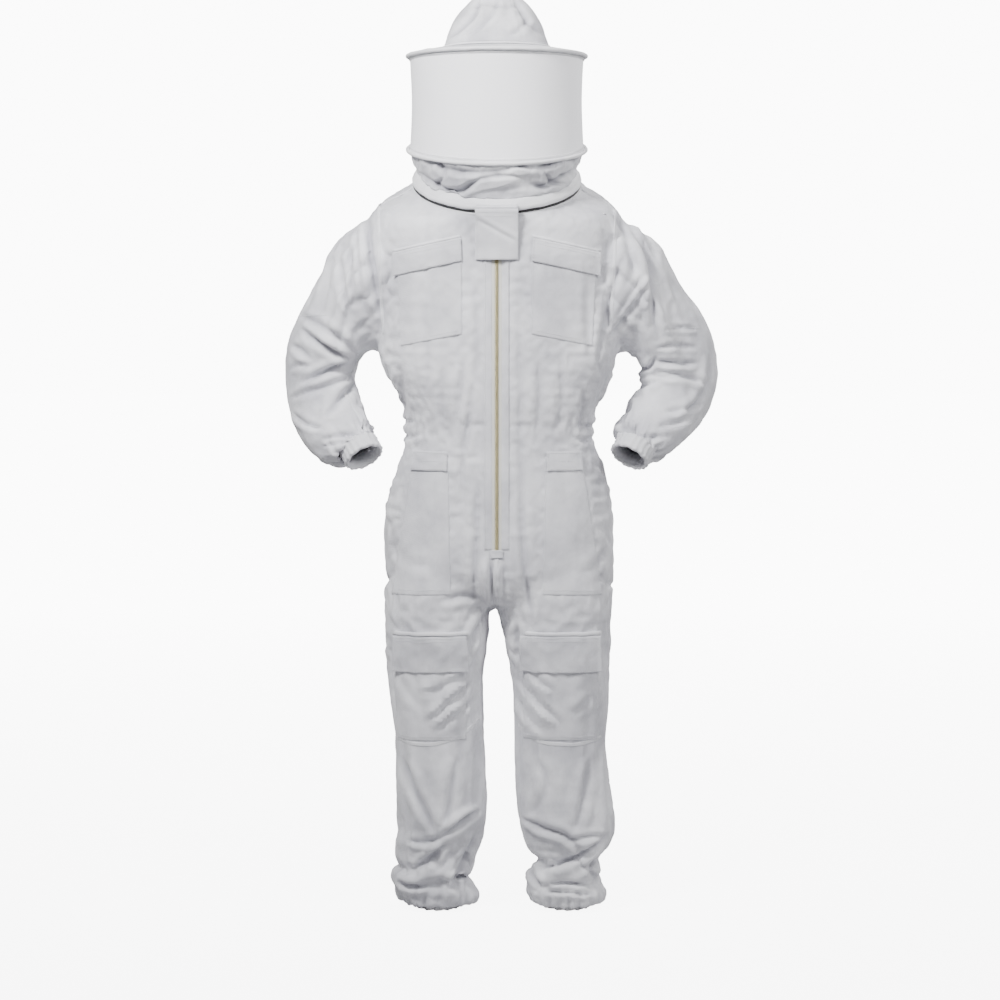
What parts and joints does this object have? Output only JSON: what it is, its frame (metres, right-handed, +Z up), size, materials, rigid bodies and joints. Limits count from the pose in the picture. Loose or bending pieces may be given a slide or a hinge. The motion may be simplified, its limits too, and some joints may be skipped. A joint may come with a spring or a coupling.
{
  "type": "beekeeping suit",
  "caption": "One-piece white cotton beekeeping coverall with a front zip, patch pockets, elastic cuffs and a zip-on round net veil with a domed crown.",
  "frame": {"origin": "on the plane of the ankle hems, under the middle of the garment's box", "axes": "+Z up from the hems to the crown, -Y is the front with the main zip, +X is the wearer's left"},
  "size_m": [0.8144, 0.3434, 1.738],
  "materials": {
    "cotton": "white cotton twill, washed",
    "binding": "white padded cotton binding",
    "net": "fine white net",
    "elastic": "woven elastic",
    "zip_tape": "woven zip tape",
    "brass": "satin brass teeth and slider",
    "black_nylon": "black coil zip"
  },
  "bodies": {
    "coverall": {"front_panel_left": "cotton", "front_panel_right": "cotton", "back_panel": "cotton", "crotch_gusset": "cotton", "waist_elastic": "elastic", "collar_binding": "binding", "neck_zip_lower": "black_nylon", "main_zip_chain": "brass", "main_zip_bottom_stop": "cotton", "main_zip_tape_left": "zip_tape", "main_zip_tape_right": "zip_tape", "placket_left": "cotton", "placket_right": "cotton", "chest_pocket_left": "cotton", "chest_pocket_right": "cotton", "hip_pocket_left": "cotton", "hip_pocket_right": "cotton", "hip_pocket_welt_left": "cotton", "hip_pocket_welt_right": "cotton"},
    "veil": {"veil_collar": "binding", "neck_zip_upper": "black_nylon", "veil_skirt": "cotton", "lower_hoop": "binding", "mesh_front": "net", "rear_panel": "cotton", "upper_hoop": "binding", "brim": "cotton", "crown": "cotton"},
    "throat_patch": {"throat_patch": "cotton"},
    "zip_slider": {"main_zip_slider": "brass"},
    "zip_pull": {"main_zip_pull": "brass"},
    "upper_arm_left": {"upper_sleeve_left": "cotton", "elbow_patch_left": "cotton"},
    "forearm_left": {"lower_sleeve_left": "cotton", "wrist_cuff_left": "cotton", "wrist_elastic_left": "elastic"},
    "thigh_left": {"thigh_left": "cotton", "thigh_pocket_left": "cotton"},
    "shin_left": {"shin_left": "cotton", "ankle_cuff_left": "cotton", "ankle_elastic_left": "elastic"},
    "chest_flap_left": {"chest_flap_left": "cotton"},
    "thigh_flap_left": {"thigh_flap_left": "cotton"},
    "neck_slider_left": {"neck_zip_slider_left": "black_nylon"},
    "neck_pull_left": {"neck_zip_pull_left": "black_nylon"},
    "upper_arm_right": {"upper_sleeve_right": "cotton", "elbow_patch_right": "cotton"},
    "forearm_right": {"lower_sleeve_right": "cotton", "wrist_cuff_right": "cotton", "wrist_elastic_right": "elastic"},
    "thigh_right": {"thigh_right": "cotton", "thigh_pocket_right": "cotton"},
    "shin_right": {"shin_right": "cotton", "ankle_cuff_right": "cotton", "ankle_elastic_right": "elastic"},
    "chest_flap_right": {"chest_flap_right": "cotton"},
    "thigh_flap_right": {"thigh_flap_right": "cotton"},
    "neck_slider_right": {"neck_zip_slider_right": "black_nylon"},
    "neck_pull_right": {"neck_zip_pull_right": "black_nylon"}
  },
  "joints": [
    {"name": "veil_fold_back", "type": "hinge", "parent": "coverall", "child": "veil", "pos_m": [0, 0.1502, 1.4499], "axis": [-1, 0, 0], "range_deg": [0, 95]},
    {"name": "throat_patch_lift", "type": "hinge", "parent": "veil", "child": "throat_patch", "pos_m": [0, -0.1625, 1.33], "axis": [-1, 0, 0], "range_deg": [0, 100]},
    {"name": "main_zip_slide", "type": "slide", "parent": "coverall", "child": "zip_slider", "axis": [0, -0.0189, 0.9998], "range_m": [-0.585, 0]},
    {"name": "main_zip_pull_swing", "type": "hinge", "parent": "zip_slider", "child": "zip_pull", "pos_m": [0, -0.14875, 1.29679], "axis": [-1, 0, 0], "range_deg": [0, 10]},
    {"name": "shoulder_left", "type": "hinge", "parent": "coverall", "child": "upper_arm_left", "pos_m": [0.18, 0, 1.295], "axis": [0, -1, 0], "range_deg": [0, 70]},
    {"name": "elbow_left", "type": "hinge", "parent": "upper_arm_left", "child": "forearm_left", "pos_m": [0.352, 0.05, 1.043], "axis": [0.5554, -0.802, 0.2199], "range_deg": [0, 65]},
    {"name": "hip_left", "type": "hinge", "parent": "coverall", "child": "thigh_left", "pos_m": [0.11, 0, 0.74], "axis": [-1, 0, 0], "range_deg": [-15, 60]},
    {"name": "knee_left", "type": "hinge", "parent": "thigh_left", "child": "shin_left", "pos_m": [0.12, -0.005, 0.335], "axis": [1, 0, 0], "range_deg": [0, 80]},
    {"name": "chest_flap_lift_left", "type": "hinge", "parent": "coverall", "child": "chest_flap_left", "pos_m": [0.12635, -0.13859, 1.2655], "axis": [-0.9296, -0.3132, 0.1944], "range_deg": [0, 120]},
    {"name": "thigh_flap_lift_left", "type": "hinge", "parent": "thigh_left", "child": "thigh_flap_left", "pos_m": [0.12158, -0.1216, 0.534], "axis": [-0.9976, -0.0693, 0], "range_deg": [0, 110]},
    {"name": "neck_zip_run_left", "type": "hinge", "parent": "coverall", "child": "neck_slider_left", "pos_m": [0, 0, 1.384], "axis": [0, -0.3907, 0.9205], "range_deg": [0, 140]},
    {"name": "neck_zip_pull_swing_left", "type": "hinge", "parent": "neck_slider_left", "child": "neck_pull_left", "pos_m": [0.01734, -0.14911, 1.32071], "axis": [0, 0.3907, -0.9205], "range_deg": [0, 25]},
    {"name": "shoulder_right", "type": "hinge", "parent": "coverall", "child": "upper_arm_right", "pos_m": [-0.18, 0, 1.295], "axis": [0, 1, 0], "range_deg": [0, 70]},
    {"name": "elbow_right", "type": "hinge", "parent": "upper_arm_right", "child": "forearm_right", "pos_m": [-0.352, 0.05, 1.043], "axis": [0.5554, 0.802, -0.2199], "range_deg": [0, 65]},
    {"name": "hip_right", "type": "hinge", "parent": "coverall", "child": "thigh_right", "pos_m": [-0.11, 0, 0.74], "axis": [-1, 0, 0], "range_deg": [-15, 60]},
    {"name": "knee_right", "type": "hinge", "parent": "thigh_right", "child": "shin_right", "pos_m": [-0.12, -0.005, 0.335], "axis": [1, 0, 0], "range_deg": [0, 80]},
    {"name": "chest_flap_lift_right", "type": "hinge", "parent": "coverall", "child": "chest_flap_right", "pos_m": [-0.12635, -0.13859, 1.2655], "axis": [-0.9296, 0.3132, -0.1944], "range_deg": [0, 120]},
    {"name": "thigh_flap_lift_right", "type": "hinge", "parent": "thigh_right", "child": "thigh_flap_right", "pos_m": [-0.11957, -0.1216, 0.534], "axis": [-0.9976, 0.0693, 0], "range_deg": [0, 110]},
    {"name": "neck_zip_run_right", "type": "hinge", "parent": "coverall", "child": "neck_slider_right", "pos_m": [0, 0, 1.384], "axis": [0, 0.3907, -0.9205], "range_deg": [0, 140]},
    {"name": "neck_zip_pull_swing_right", "type": "hinge", "parent": "neck_slider_right", "child": "neck_pull_right", "pos_m": [-0.01734, -0.14911, 1.32071], "axis": [0, -0.3907, 0.9205], "range_deg": [0, 25]}
  ]
}
